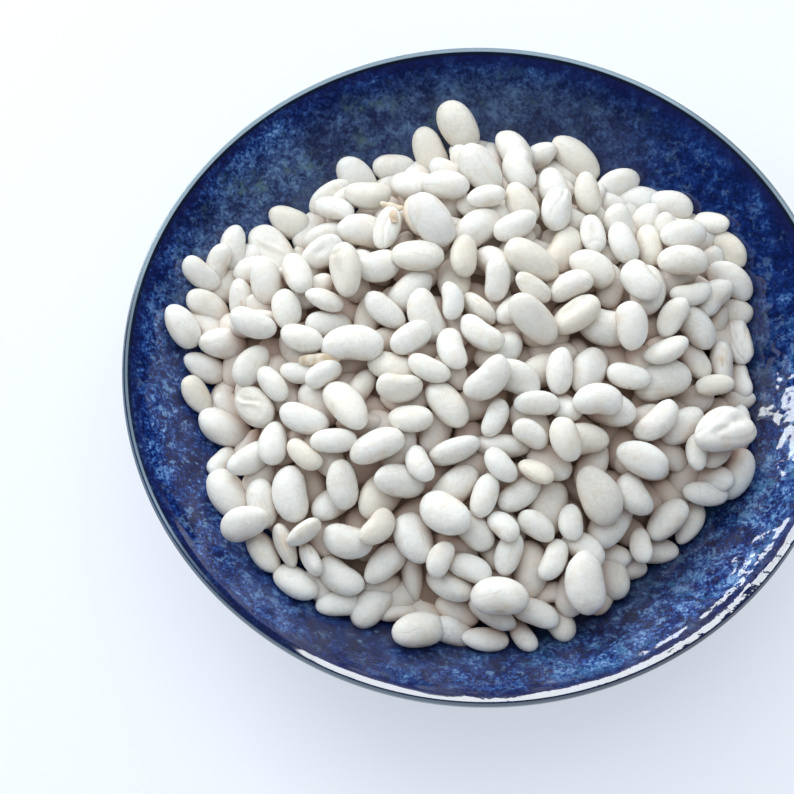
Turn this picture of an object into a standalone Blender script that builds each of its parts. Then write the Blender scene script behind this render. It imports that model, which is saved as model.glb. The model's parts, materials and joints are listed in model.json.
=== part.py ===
"""A shallow stoneware bowl, heaped with dried white beans.

Metres, +Z up. The origin is at the middle of the foot, on the surface that the bowl stands on.
The bowl is one turned solid. The heap is one solid too: a mound that follows the bowl's inside,
with every bean that shows joined to it at its true size and with few sides. The beans are laid
one by one, each where it rests lowest on the bowl and on the beans before it.
"""

import math

import bmesh
import bpy
import numpy as np
from mathutils import Matrix

MM = 0.001

# Bowl
RIM_RADIUS = 100 * MM
RIM_HEIGHT = 40 * MM
LIP_RADIUS = 1.7 * MM
WELL_HEIGHT = 8.5 * MM
WALL_POWER = 2.4
WALL_AT_LIP = 3.4 * MM
WALL_AT_FOOT = 5.4 * MM
FOOT_RADIUS = 47 * MM
FOOT_WIDTH = 7 * MM
FOOT_EDGE = 0.8 * MM
FOOT_RECESS = 2.6 * MM
BOWL_SIDES = 52

# Heap
HEAP_CENTRE_X = -3.5 * MM
HEAP_CENTRE_Y = -1 * MM
HEAP_TOP = 52 * MM
HEAP_POWER = 2.2
HEAP_EDGE = 7.5 * MM
HEAP_BEYOND_EDGE_BEANS = 5 * MM
BED_DEPTH = 15.5 * MM
MOUND_CLEARANCE = 0.6 * MM
BEAN_CLEARANCE = 1.3 * MM

# Mound inside the heap
MOUND_DEPTH = 3.6 * MM
MOUND_EDGE = 1.2 * MM
MOUND_SHORT_OF_EDGE_BEANS = 1 * MM
MOUND_SIDES = 30
MOUND_RINGS = 14

# Beans
BEAN_LENGTH = 14.2 * MM
BEAN_LENGTH_SPREAD = 1.5 * MM
BEAN_SHORTEST = 10.8 * MM
BEAN_LONGEST = 17.5 * MM
BEAN_WIDTH = 0.66
BEAN_THICKNESS = 0.72
BEAN_BEND = 0.12
BEAN_SIDES = 5
BEAN_RINGS = 4
BEAN_FULLNESS = 1.14
BEAN_FIT = 0.98
PLACED_BEAN_FIT = 0.93
LEAST_SHOWN = 51 * MM * MM

# Piling
SEED = 7
GRID_STEP = 0.5 * MM
GRID_HALF = 100 * MM
SPOT_STEP = 2 * MM
TRIES = 48
WANDER = 4 * MM
NUDGE = 1.2 * MM
ON_EDGE_SHARE = 0.09
FILL_SHORT_OF_EDGE_BEANS = 3 * MM
TOP_BEANS_DEPTH = 11.5 * MM
FULL_DEPTH = 1.6 * MM
PROUD = 2.6 * MM

# Beans at the heap's edge: x and y in mm, turn in degrees, length in mm
EDGE_BEANS = (
    (-6, 79, 126, 16),
    (-14, 72, 109, 16),
    (-25, 68, 177, 13),
    (-34, 63, 118, 17),
    (-42, 57, 30, 14),
    (-55, 50, 160, 13),
    (-60, 39, 127, 17),
    (-71, 39, 95, 14),
    (-80, 30, 150, 13),
    (-78, 21, 159, 14),
    (-85, 13, 122, 14),
    (-78, 3, 165, 13),
    (-80, -6, 120, 12),
    (-72, -16, 158, 16),
    (-73, -26, 60, 11),
    (-70, -38, 125, 17),
    (-61, -54, 120, 14),
    (-52, -62, 142, 14),
    (-40, -69, 12, 14),
    (-24, -70, 8, 12),
    (-19, -77, 8, 15),
    (0, -79, 0, 13),
    (11, -78, 120, 11),
    (20, -73, 130, 14),
    (33, -65, 60, 13),
    (41, -57, 15, 10),
    (58, -44, 65, 13),
    (71, -31, 72, 15),
    (72, -16, 85, 15),
    (74, 0, 100, 12),
    (73, 12, 100, 15),
    (72, 30, 140, 15),
    (71, 39, 130, 13),
    (67, 46, 150, 12),
    (55, 54, 165, 15),
    (41, 61, 30, 14),
    (29, 70, 135, 17),
    (18, 70, 20, 12),
)

# Large beans on top of the heap, in the same terms
TOP_BEANS = (
    (-35, 1, 170, 18),
    (-15, 11, 112, 16),
    (-17, 27, 172, 15),
    (-37, 24, 100, 16),
    (-15, 38, 125, 17),
    (-8, -2, 98, 14),
    (13, 26, 155, 17),
    (13, 8, 135, 17),
    (31, 25, 140, 14),
    (45, 19, 125, 14),
    (40, 7, 95, 14),
    (50, 0, 30, 14),
    (27, 10, 32, 15),
    (1, -10, 38, 15),
    (56, 28, 5, 15),
    (32, -17, 3, 14),
    (23, -28, 105, 13),
    (30, -40, 115, 17),
    (42, -30, 152, 15),
    (26, -65, 95, 17),
    (3, -71, 177, 16),
    (-28, -28, 25, 16),
    (-37, -18, 120, 18),
    (-22, -11, 0, 13),
    (-24, -39, 0, 15),
    (-10, -48, 143, 16),
    (-64, -47, 17, 14),
    (-62, -13, 135, 14),
)

GLAZE_COLOUR = (0.030, 0.052, 0.150, 1)
BEAN_COLOUR = (0.66, 0.63, 0.56, 1)


def clear_scene():
    for thing in list(bpy.data.objects):
        bpy.data.objects.remove(thing)


def new_collection(name):
    group = bpy.data.collections.new(name)
    bpy.context.scene.collection.children.link(group)
    return group


def new_material(name, colour, roughness):
    material = bpy.data.materials.new(name)
    material.use_nodes = True
    shader = material.node_tree.nodes["Principled BSDF"]
    shader.inputs["Base Color"].default_value = colour
    shader.inputs["Roughness"].default_value = roughness
    shader.inputs["Metallic"].default_value = 0.0
    return material


def inner_height(radius):
    """Height of the bowl's inside at a distance from its axis."""
    lip = RIM_RADIUS - LIP_RADIUS
    rise = RIM_HEIGHT - LIP_RADIUS - WELL_HEIGHT
    return WELL_HEIGHT + rise * (np.minimum(radius, lip) / lip) ** WALL_POWER


def arc(centre_x, centre_z, radius, start, end, steps):
    """Points on a round edge, from one angle to another in degrees."""
    points = []
    for angle in np.radians(np.linspace(start, end, steps + 1)):
        points.append((centre_x + radius * math.cos(angle), centre_z + radius * math.sin(angle)))
    return points


def bowl_profile():
    """Half section of the bowl: up the inside, over the lip, down the outside, under the foot."""
    lip_x = RIM_RADIUS - LIP_RADIUS
    lip_z = RIM_HEIGHT - LIP_RADIUS
    inside = [(x, inner_height(x)) for x in np.linspace(0, lip_x - LIP_RADIUS, 9)]
    lip = arc(lip_x, lip_z, LIP_RADIUS, 160, -50, 5)
    outside = []
    for share in np.linspace(0.12, 1, 5):
        x = RIM_RADIUS - WALL_AT_LIP - share * (RIM_RADIUS - WALL_AT_LIP - FOOT_RADIUS)
        wall = WALL_AT_LIP + share * (WALL_AT_FOOT - WALL_AT_LIP)
        slope = (inner_height(x + MM) - inner_height(x - MM)) / (2 * MM)
        outside.append((x, inner_height(x) - wall * math.hypot(1, slope)))
    foot_inside = FOOT_RADIUS - FOOT_WIDTH
    foot = [
        (FOOT_RADIUS - FOOT_EDGE / 2, FOOT_EDGE),
        (FOOT_RADIUS - 2 * FOOT_EDGE, 0),
        (foot_inside + FOOT_EDGE, 0),
        (foot_inside, FOOT_EDGE),
        (foot_inside - FOOT_EDGE, FOOT_RECESS),
        (0, FOOT_RECESS),
    ]
    return inside + lip + outside + foot


def make_bowl(group):
    profile = bowl_profile()
    mesh = bpy.data.meshes.new("bowl")
    vertices = [(x, 0, z) for x, z in profile]
    edges = [(i, i + 1) for i in range(len(profile) - 1)]
    mesh.from_pydata(vertices, edges, [])
    bowl = bpy.data.objects.new("bowl", mesh)
    group.objects.link(bowl)
    turn = bowl.modifiers.new("turn", "SCREW")
    turn.axis = "Z"
    turn.steps = BOWL_SIDES
    turn.render_steps = BOWL_SIDES
    turn.use_merge_vertices = True
    turn.merge_threshold = 0.01 * MM
    turn.use_smooth_shade = True
    mesh.materials.append(new_material("blue glaze", GLAZE_COLOUR, 0.12))
    return bowl


def from_heap_centre(x, y):
    """Distance and direction of a place, seen from the middle of the heap."""
    from_x = x - HEAP_CENTRE_X
    from_y = y - HEAP_CENTRE_Y
    return np.hypot(from_x, from_y), np.arctan2(from_y, from_x)


def edge_reach(direction):
    """Distance from the middle of the heap to the ring of its edge beans."""
    edge = np.array(EDGE_BEANS) * MM
    reach, towards = from_heap_centre(edge[:, 0], edge[:, 1])
    return np.interp(direction, towards, reach, period=2 * math.pi)


def heap_height(x, y):
    """Height of the heap's smooth form over a place inside its edge."""
    reach, direction = from_heap_centre(x, y)
    radius = edge_reach(direction) + HEAP_BEYOND_EDGE_BEANS
    edge_x = HEAP_CENTRE_X + radius * np.cos(direction)
    edge_y = HEAP_CENTRE_Y + radius * np.sin(direction)
    edge = inner_height(np.hypot(edge_x, edge_y)) + HEAP_EDGE
    return edge + (HEAP_TOP - edge) * (1 - (reach / radius) ** HEAP_POWER)


def within_edge_beans(x, y, margin):
    reach, direction = from_heap_centre(x, y)
    return reach < edge_reach(direction) - margin


def cell(position):
    """Index of the grid line nearest to a position along X or Y."""
    return np.rint((position + GRID_HALF) / GRID_STEP).astype(int)


def rotations(turn, pitch, roll):
    """One matrix for each set of angles: roll about the length, then pitch, then turn about Z."""
    ct, st = np.cos(turn), np.sin(turn)
    cp, sp = np.cos(pitch), np.sin(pitch)
    cr, sr = np.cos(roll), np.sin(roll)
    rows = (
        (ct * cp, ct * sp * sr - st * cr, ct * sp * cr + st * sr),
        (st * cp, st * sp * sr + ct * cr, st * sp * cr - ct * sr),
        (-sp, cp * sr, cp * cr),
    )
    return np.moveaxis(np.array(rows), 2, 0)


class Pile:
    """Beans laid one by one on a grid of heights."""

    def __init__(self, ground, rng):
        self.height = ground.copy()
        self.owner = np.full(ground.shape, -1)
        self.beans = []
        self.rng = rng

    def bean_size(self, length=None):
        """Half length, half width and half thickness of one more bean."""
        drawn = self.rng.normal(BEAN_LENGTH, BEAN_LENGTH_SPREAD)
        length = length or min(max(drawn, BEAN_SHORTEST), BEAN_LONGEST)
        width = length * BEAN_WIDTH * self.rng.uniform(0.88, 1.12)
        thickness = width * BEAN_THICKNESS * self.rng.uniform(0.9, 1.1)
        return np.array((length, width, thickness)) / 2

    def settle(self, x, y, size, turn=None, on_edge=False):
        """Tries a bean near a place at many angles and keeps the one that lies lowest.

        A bean is tried a little smaller than it is, so that it sinks into those under it.
        """
        free = turn is None
        fit = BEAN_FIT if free else PLACED_BEAN_FIT
        turns = self.rng.uniform(0, math.pi, TRIES) if free else self.rng.normal(turn, 0.05, TRIES)
        pitches = self.rng.normal(0, 0.22, TRIES)
        rolls = self.rng.normal(math.pi / 2 if on_edge else 0, 0.28, TRIES)
        wander = self.rng.uniform(-1, 1, (2, TRIES)) * (WANDER if free else NUDGE)
        matrices = rotations(turns, pitches, rolls)
        reach = math.ceil(size[0] / GRID_STEP)
        span = np.arange(-reach, reach + 1)
        step_x, step_y = (steps.ravel() for steps in np.meshgrid(span, span))
        columns = cell(x + wander[0])
        rows = cell(y + wander[1])
        inside, low, high = self.underside(matrices, size * fit, step_x * GRID_STEP, step_y * GRID_STEP)
        below = (rows[:, None] + step_y, columns[:, None] + step_x)
        rest = np.where(inside, self.height[below] - low, 0).max(axis=1)
        best = int(np.argmin(rest))
        centre = (
            columns[best] * GRID_STEP - GRID_HALF,
            rows[best] * GRID_STEP - GRID_HALF,
            rest[best],
        )
        keep = inside[best]
        return {
            "centre": np.array(centre),
            "matrix": matrices[best],
            "size": size,
            "rows": rows[best] + step_y[keep],
            "columns": columns[best] + step_x[keep],
            "tops": rest[best] + high[best][keep],
        }

    @staticmethod
    def underside(matrices, size, x, y):
        """Where an ellipsoid at each angle covers the steps x, y, and its lower and upper heights."""
        form = matrices @ np.diag(size**-2.0) @ matrices.transpose(0, 2, 1)
        lean = form[:, 0, 2, None] * x + form[:, 1, 2, None] * y
        across = form[:, 0, 0, None] * x * x + form[:, 1, 1, None] * y * y
        across += 2 * form[:, 0, 1, None] * x * y
        upright = form[:, 2, 2, None]
        room = lean * lean - upright * (across - 1)
        root = np.sqrt(np.maximum(room, 0))
        return room > 0, (-lean - root) / upright, (-lean + root) / upright

    def add(self, bean):
        rows, columns, tops = bean["rows"], bean["columns"], bean["tops"]
        higher = tops > self.height[rows, columns]
        self.height[rows[higher], columns[higher]] = tops[higher]
        self.owner[rows[higher], columns[higher]] = len(self.beans)
        self.beans.append(bean)

    def lay(self, placed):
        """Adds beans from a list of x, y, turn and length."""
        for x, y, turn, length in placed:
            size = self.bean_size(length * MM)
            self.add(self.settle(x * MM, y * MM, size, math.radians(turn)))

    def fill(self, depth):
        """Adds beans where the heap lacks most, until it lacks less than a depth everywhere."""
        lattice = np.arange(-GRID_HALF, GRID_HALF, SPOT_STEP)
        spot_x, spot_y = (line.ravel() for line in np.meshgrid(lattice, lattice))
        near = within_edge_beans(spot_x, spot_y, FILL_SHORT_OF_EDGE_BEANS)
        spot_x, spot_y = spot_x[near], spot_y[near]
        goal = heap_height(spot_x, spot_y)
        around = 3 * MM * np.array([(i, j) for i in (-1, 0, 1) for j in (-1, 0, 1)])
        columns = cell(spot_x[:, None] + around[:, 0])
        rows = cell(spot_y[:, None] + around[:, 1])
        open_spots = np.ones(len(goal))
        while True:
            lack = goal - self.height[rows, columns].mean(axis=1)
            lack = open_spots * (lack + self.rng.normal(0, 0.4 * MM, len(goal)))
            spot = int(np.argmax(lack))
            if lack[spot] < depth:
                return
            on_edge = self.rng.random() < ON_EDGE_SHARE
            bean = self.settle(spot_x[spot], spot_y[spot], self.bean_size(), on_edge=on_edge)
            x, y = bean["centre"][:2]
            proud = bean["tops"].max() > heap_height(x, y) + PROUD
            if proud or not within_edge_beans(x, y, FILL_SHORT_OF_EDGE_BEANS):
                open_spots[spot] = 0
            else:
                self.add(bean)


def pile_beans():
    """The whole heap, bean by bean."""
    line = np.arange(-GRID_HALF, GRID_HALF + GRID_STEP / 2, GRID_STEP)
    x, y = np.meshgrid(line, line)
    floor = inner_height(np.hypot(x, y)) + BEAN_CLEARANCE
    pile = Pile(np.maximum(floor, heap_height(x, y) - BED_DEPTH), np.random.default_rng(SEED))
    pile.lay(EDGE_BEANS)
    pile.fill(TOP_BEANS_DEPTH)
    pile.lay(TOP_BEANS)
    pile.fill(FULL_DEPTH)
    return pile


def make_mound(pile, group, material):
    """The mound: its underside follows the bowl, its top lies a little under the beans' tops."""
    shape = bmesh.new()
    bmesh.ops.create_uvsphere(shape, u_segments=MOUND_SIDES, v_segments=MOUND_RINGS, radius=1)
    near = np.arange(-8, 9, 4)
    near_x, near_y = np.meshgrid(near, near)
    for vertex in shape.verts:
        tilt = math.acos(max(-1, min(1, vertex.co.z)))
        around = math.atan2(vertex.co.y, vertex.co.x)
        radius = float(edge_reach(around)) - MOUND_SHORT_OF_EDGE_BEANS
        reach = radius * (1 - abs(1 - tilt / (math.pi / 2)))
        x = HEAP_CENTRE_X + reach * math.cos(around)
        y = HEAP_CENTRE_Y + reach * math.sin(around)
        floor = float(inner_height(math.hypot(x, y))) + MOUND_CLEARANCE
        z = floor
        if tilt < math.pi / 2 + 0.01:
            tops = pile.height[cell(y) + near_y, cell(x) + near_x]
            z = max(float(tops.mean()) - MOUND_DEPTH, floor + MOUND_EDGE)
        vertex.co = (x, y, z)
    mesh = bpy.data.meshes.new("beans")
    shape.to_mesh(mesh)
    shape.free()
    mesh.materials.append(material)
    mound = bpy.data.objects.new("beans", mesh)
    group.objects.link(mound)
    return mound


def bean_mesh(name, bend, material):
    """A bean with few sides, one unit long from its middle, curved sideways like a kidney."""
    shape = bmesh.new()
    bmesh.ops.create_uvsphere(shape, u_segments=BEAN_SIDES, v_segments=BEAN_RINGS, radius=BEAN_FULLNESS)
    bmesh.ops.rotate(shape, verts=shape.verts, matrix=Matrix.Rotation(math.pi / 2, 3, "Y"))
    for vertex in shape.verts:
        vertex.co.y -= bend * (vertex.co.x**2 - 0.4)
    mesh = bpy.data.meshes.new(name)
    shape.to_mesh(mesh)
    shape.free()
    mesh.materials.append(material)
    return mesh


def make_beans(pile, group, material):
    """One object for each bean that shows, on three shared meshes."""
    kinds = [bean_mesh(f"bean {i}", bend, material) for i, bend in enumerate((0, BEAN_BEND, 2 * BEAN_BEND))]
    shown = np.bincount(pile.owner[pile.owner >= 0], minlength=len(pile.beans)) * GRID_STEP**2
    for index in np.flatnonzero(shown > LEAST_SHOWN):
        bean = pile.beans[index]
        thing = bpy.data.objects.new(f"bean {index}", kinds[index % len(kinds)])
        placed = Matrix.Translation(bean["centre"]) @ Matrix(bean["matrix"].tolist()).to_4x4()
        thing.matrix_world = placed @ Matrix.Diagonal((*bean["size"], 1))
        group.objects.link(thing)


def apply_modifiers(thing):
    """Keeps what the modifiers make as the object's own mesh."""
    graph = bpy.context.evaluated_depsgraph_get()
    mesh = bpy.data.meshes.new_from_object(thing.evaluated_get(graph))
    thing.modifiers.clear()
    thing.data = mesh


def keep_largest_shell(mesh):
    """Fills hollows that the joining has sealed and drops beans that nothing holds."""
    shape = bmesh.new()
    shape.from_mesh(mesh)
    left = set(shape.verts)
    shells = []
    while left:
        shell = {left.pop()}
        front = list(shell)
        while front:
            for edge in front.pop().link_edges:
                for vertex in edge.verts:
                    if vertex in left:
                        left.remove(vertex)
                        shell.add(vertex)
                        front.append(vertex)
        shells.append(shell)
    shells.sort(key=len)
    loose = [vertex for shell in shells[:-1] for vertex in shell]
    bmesh.ops.delete(shape, geom=loose, context="VERTS")
    shape.to_mesh(mesh)
    shape.free()
    return len(shells) - 1


def make_heap(group, helpers):
    material = new_material("bean skin", BEAN_COLOUR, 0.45)
    pile = pile_beans()
    mound = make_mound(pile, group, material)
    make_beans(pile, helpers, material)
    join = mound.modifiers.new("join beans", "BOOLEAN")
    join.operation = "UNION"
    join.operand_type = "COLLECTION"
    join.collection = helpers
    join.solver = "EXACT"
    apply_modifiers(mound)
    for thing in list(helpers.objects):
        bpy.data.objects.remove(thing)
    dropped = keep_largest_shell(mound.data)
    mound.data.shade_smooth()
    mound.data.set_sharp_from_angle(angle=math.radians(50))
    print("beans laid:", len(pile.beans), "shells dropped:", dropped)
    return mound


def main():
    clear_scene()
    parts = new_collection("bowl of dried beans")
    helpers = new_collection("beans to join")
    make_bowl(parts)
    make_heap(parts, helpers)


if __name__ == "__main__":
    main()
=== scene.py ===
# %% [markdown]
# A bowl of dried beans
# A shallow stoneware bowl under a mottled blue glaze, heaped above its rim with dried white beans.
# This file dresses the two plain solids of the part, bowl and heap, as the real things look.
# Everything is in metres, with Z up, and the bowl stands on the plane at height zero.

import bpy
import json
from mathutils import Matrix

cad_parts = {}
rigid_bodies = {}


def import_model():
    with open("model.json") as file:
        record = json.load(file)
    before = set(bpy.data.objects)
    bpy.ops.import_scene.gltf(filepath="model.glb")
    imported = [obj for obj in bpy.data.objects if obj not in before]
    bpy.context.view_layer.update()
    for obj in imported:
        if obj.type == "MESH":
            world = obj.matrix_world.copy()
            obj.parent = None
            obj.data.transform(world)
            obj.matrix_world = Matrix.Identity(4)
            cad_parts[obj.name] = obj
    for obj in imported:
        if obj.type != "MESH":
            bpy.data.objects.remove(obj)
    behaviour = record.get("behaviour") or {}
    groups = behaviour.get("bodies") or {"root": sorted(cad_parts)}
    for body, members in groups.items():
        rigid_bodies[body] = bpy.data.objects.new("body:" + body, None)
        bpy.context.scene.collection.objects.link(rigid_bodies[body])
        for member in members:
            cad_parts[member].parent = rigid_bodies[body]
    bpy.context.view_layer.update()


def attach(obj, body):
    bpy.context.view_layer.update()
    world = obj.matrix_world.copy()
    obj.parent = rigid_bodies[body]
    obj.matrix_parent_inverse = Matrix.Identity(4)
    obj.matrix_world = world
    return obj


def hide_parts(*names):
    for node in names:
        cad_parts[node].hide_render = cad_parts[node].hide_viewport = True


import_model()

# %% [markdown]
# Helpers
# Three small jobs come back with every piece: putting an object into the scene, making plain faces
# of what its modifiers show, and turning those faces outwards. Each is one function.

# %% Tools
import json
import math
from types import SimpleNamespace

import bmesh
import bpy
import numpy as np
from mathutils import Matrix, Vector

MM = 0.001
scene = bpy.context.scene


def put_in_scene(name, data):
    """Makes an object of a mesh, light or camera."""
    thing = bpy.data.objects.new(name, data)
    scene.collection.objects.link(thing)
    return thing


def made_real(thing):
    """Turns what a live modifier shows into the object's own plain mesh."""
    graph = bpy.context.evaluated_depsgraph_get()
    mesh = bpy.data.meshes.new_from_object(thing.evaluated_get(graph))
    thing.modifiers.clear()
    thing.data = mesh
    return thing


def face_outwards(mesh):
    """Turns every face outwards."""
    shape = bmesh.new()
    shape.from_mesh(mesh)
    bmesh.ops.recalc_face_normals(shape, faces=shape.faces)
    shape.to_mesh(mesh)
    shape.free()


print("tools ready in Blender", bpy.app.version_string)

# %% [markdown]
# Camera
# The photograph looks steeply down from the front. A bowl's rim is a circle, so the ellipse that it
# makes in a picture gives the camera's tilt and place. It was taken with a long lens: 142 mm on a
# sensor 36 mm wide. The bowl sits to the right of the middle, and the right edge cuts it off.

# %% Camera
LENS = 142.4
SENSOR_WIDTH = 36
CAMERA_ELEVATION = 66.48
CAMERA_DISTANCE = 0.8668
CAMERA_AIM = Vector((-0.02368, -0.01110, 0.040))
NEAREST_SEEN = 0.05
FARTHEST_SEEN = 50

camera = put_in_scene("camera", bpy.data.cameras.new("camera"))
camera.data.lens = LENS
camera.data.sensor_width = SENSOR_WIDTH
camera.data.clip_start = NEAREST_SEEN
camera.data.clip_end = FARTHEST_SEEN
tilt = math.radians(CAMERA_ELEVATION)
back = Vector((0, -math.cos(tilt), math.sin(tilt)))
camera.location = CAMERA_AIM + back * CAMERA_DISTANCE
camera.rotation_euler = (math.pi / 2 - tilt, 0, 0)
scene.camera = camera
print("camera at", tuple(round(v, 3) for v in camera.location))

# %% [markdown]
# Light
# The beans were photographed by daylight from behind and from the left. Two windows give it here, a
# tall one on the left and a wide low one: the glaze mirrors them along the lip nearest to us and on
# its right side, which tells where they stand. A soft light overhead stands for a white ceiling. It
# and the pale world fill the shadows, but the glaze doesn't mirror them, because a grey veil would
# hide its dark blue.

# %% Lights
WINDOW_COLOUR = (0.94, 0.98, 1.0)
CEILING_COLOUR = (0.93, 0.965, 1.0)
# Azimuth and elevation in degrees, distance, width and height in metres, power in watts, colour.
# Azimuth 0 is behind the bowl, and it grows to the right.
LIGHTS = {
    "tall window": (-42, 29, 1.7, 0.84, 0.60, 11.2, WINDOW_COLOUR),
    "low window": (-4, 17, 1.7, 1.30, 0.38, 11.6, WINDOW_COLOUR),
    "ceiling": (-32, 70, 2.0, 3.00, 2.40, 30.0, CEILING_COLOUR),
}


def make_area_light(name, azimuth, elevation, distance, width, height, power, colour):
    """A rectangular light that faces the bowl."""
    data = bpy.data.lights.new(name, "AREA")
    data.shape = "RECTANGLE"
    data.size = width
    data.size_y = height
    data.energy = power
    data.color = colour
    light = put_in_scene(name, data)
    a, e = math.radians(azimuth), math.radians(elevation)
    away = Vector((math.sin(a) * math.cos(e), math.cos(a) * math.cos(e), math.sin(e)))
    light.location = away * distance
    light.rotation_euler = (-away).to_track_quat("-Z", "Y").to_euler()
    return light


lights = {name: make_area_light(name, *values) for name, values in LIGHTS.items()}
lights["ceiling"].visible_glossy = False
print("lights:", list(lights))

# %% Room
ROOM_COLOUR = (0.82, 0.90, 1.0, 1)
ROOM_STRENGTH = 0.47

world = bpy.data.worlds.new("room")
scene.world = world
world.use_nodes = True
background = world.node_tree.nodes["Background"]
background.inputs["Color"].default_value = ROOM_COLOUR
background.inputs["Strength"].default_value = ROOM_STRENGTH
world.cycles_visibility.glossy = False
scene.view_settings.view_transform = "Standard"
print("room light", ROOM_STRENGTH)

# %% [markdown]
# Painting with nodes
# A material is a small tree of nodes. Written out one by one such trees are long and hard to read, so
# one class wraps a socket: sums on it add Math nodes, and node() adds any other kind. Colours never
# go through a Math node, which would turn them grey: they are blended by Mix nodes. Most finishes
# here are such blends, coat over coat, each with a mask that says where it lies.

# %% A socket that can be used in sums
class Wire:
    """One output socket of a node tree."""

    def __init__(self, tree, socket):
        self.tree = tree
        self.socket = socket

    def node(self, kind, settings=None, inputs=None, output=0):
        """Adds a node: first its settings, then the values or wires of its sockets."""
        node = self.tree.nodes.new(kind)
        for name, value in (settings or {}).items():
            if name == "stops":
                ramp = node.color_ramp
                while len(ramp.elements) < len(value):
                    ramp.elements.new(1)
                for element, (place, colour) in zip(ramp.elements, value):
                    element.position = place
                    element.color = colour
            else:
                setattr(node, name, value)
        for name, value in (inputs or {}).items():
            if isinstance(value, Wire):
                self.tree.links.new(value.socket, node.inputs[name])
            else:
                node.inputs[name].default_value = value
        return Wire(self.tree, node.outputs[output])

    def math(self, operation, *values):
        return self.node("ShaderNodeMath", {"operation": operation}, dict(enumerate(values)))

    def __add__(self, other):
        return self.math("ADD", self, other)

    __radd__ = __add__

    def __sub__(self, other):
        return self.math("SUBTRACT", self, other)

    def __rsub__(self, other):
        return self.math("SUBTRACT", other, self)

    def __mul__(self, other):
        return self.math("MULTIPLY", self, other)

    __rmul__ = __mul__

    def __pow__(self, other):
        return self.math("POWER", self, other)

    def ramp(self, low, high):
        """0 below low, 1 above high, and smooth between them. High may be the smaller one."""
        flip = low > high
        inputs = {0: self, 1: min(low, high), 2: max(low, high)}
        smooth = self.node("ShaderNodeMapRange", {"interpolation_type": "SMOOTHSTEP"}, inputs)
        return 1 - smooth if flip else smooth

    def blend(self, first, second):
        """Mixes two colours by this wire."""
        return self.node("ShaderNodeMix", {"data_type": "RGBA"}, {0: self, 6: first, 7: second}, 2)

    def at_most(self, limit):
        return self.math("MINIMUM", self, limit)

    def parts(self):
        """The X, Y and Z of a position, each as a wire."""
        split = self.node("ShaderNodeSeparateXYZ", None, {0: self})
        return [Wire(self.tree, socket) for socket in split.socket.node.outputs]

    def scaled(self, factors):
        """A position with each axis multiplied."""
        return self.node("ShaderNodeVectorMath", {"operation": "MULTIPLY"}, {0: self, 1: factors})

    def moved(self, offset):
        return self.node("ShaderNodeVectorMath", {"operation": "ADD"}, {0: self, 1: offset})

    def bump(self, distance):
        """A normal that makes this wire look like heights."""
        return self.node("ShaderNodeBump", None, {"Distance": distance, "Height": self})

    def attribute(self, name, output):
        """A value of the mesh's points: output 1 is a vector, 2 a number."""
        return self.node("ShaderNodeAttribute", {"attribute_name": name}, None, output)

    def noise(self, scale, detail=2.0, roughness=0.5, distortion=0.0):
        """Soft noise between about 0.25 and 0.75."""
        inputs = {"Vector": self, "Scale": scale, "Detail": detail, "Roughness": roughness}
        return self.node("ShaderNodeTexNoise", None, inputs | {"Distortion": distortion})

    def cells(self, scale):
        """The distance to the nearest of many scattered points."""
        return self.node("ShaderNodeTexVoronoi", None, {"Vector": self, "Scale": scale}, "Distance")


print("a wire can:", [name for name in vars(Wire) if not name.startswith("__")])


# %% Colours and materials
def coated(colour, coats):
    """Lays coats over a colour. Each is a mask and the colour that it brings."""
    for mask, coat in coats:
        colour = mask.blend(colour, coat)
    return colour


def srgb(red, green, blue):
    """A colour given on the screen's 0 to 255 scale, as a shader takes it."""
    parts = (red, green, blue)
    return tuple(((v / 255 + 0.055) / 1.055) ** 2.4 if v > 10 else v / 3295 for v in parts) + (1,)


def new_material(name, roughness, **constants):
    """A material with one Principled shader. Returns the material, its shader and its Object wire."""
    material = bpy.data.materials.new(name)
    material.use_nodes = True
    tree = material.node_tree
    shader = tree.nodes["Principled BSDF"]
    shader.inputs["Roughness"].default_value = roughness
    for socket, value in constants.items():
        shader.inputs[socket.replace("_", " ")].default_value = value
    place = tree.nodes.new("ShaderNodeTexCoord")
    return material, shader, Wire(tree, place.outputs["Object"])


def feed(shader, **wires):
    """Joins wires to the shader's sockets."""
    for name, wire in wires.items():
        wire.tree.links.new(wire.socket, shader.inputs[name.replace("_", " ")])


print("painting tools ready")

# %% [markdown]
# Floor
# A plain pale board, only there to catch the bowl's shadow. It glows a little, so that the shadow
# stays as soft and bright as in a room with white walls. It is not part of the object.

# %% Floor
FLOOR_SIZE = 8
FLOOR_GLOW = {"Emission_Color": srgb(238, 243, 254), "Emission_Strength": 0.60}


def make_floor():
    bpy.ops.mesh.primitive_plane_add(size=FLOOR_SIZE)
    floor = bpy.context.object
    floor.name = "floor"
    material, shader, place = new_material("pale board", 0.55, **FLOOR_GLOW)
    mottle = place.noise(3, 2).ramp(0.3, 0.7)
    feed(shader, Base_Color=mottle.blend(srgb(166, 168, 170), srgb(170, 172, 174)))
    floor.data.materials.append(material)
    return floor


floor = make_floor()
print("floor", floor.dimensions.x, "m wide")

# %% [markdown]
# Bowl
# A potter throws such a bowl on a wheel, so every level cut through it is a circle. One half section,
# turned about the axis by a Screw modifier, makes it. The section runs up the inside, over the lip
# and down the outside to the foot ring. The sizes are those of the plain solid, with many more
# points, and near the lip the inside is a little straighter, as on the real bowl.

# %% Bowl sizes
RIM_RADIUS = 100 * MM
RIM_HEIGHT = 40 * MM
LIP_RADIUS = 1.7 * MM
WELL_HEIGHT = 8.5 * MM
WALL_POWER = 2.4
WALL_AT_LIP = 3.4 * MM
WALL_AT_FOOT = 5.4 * MM
FOOT_RADIUS = 47 * MM
FOOT_WIDTH = 7 * MM
FOOT_EDGE = 0.8 * MM
FOOT_RECESS = 2.6 * MM
BOWL_STEPS = 240

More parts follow.
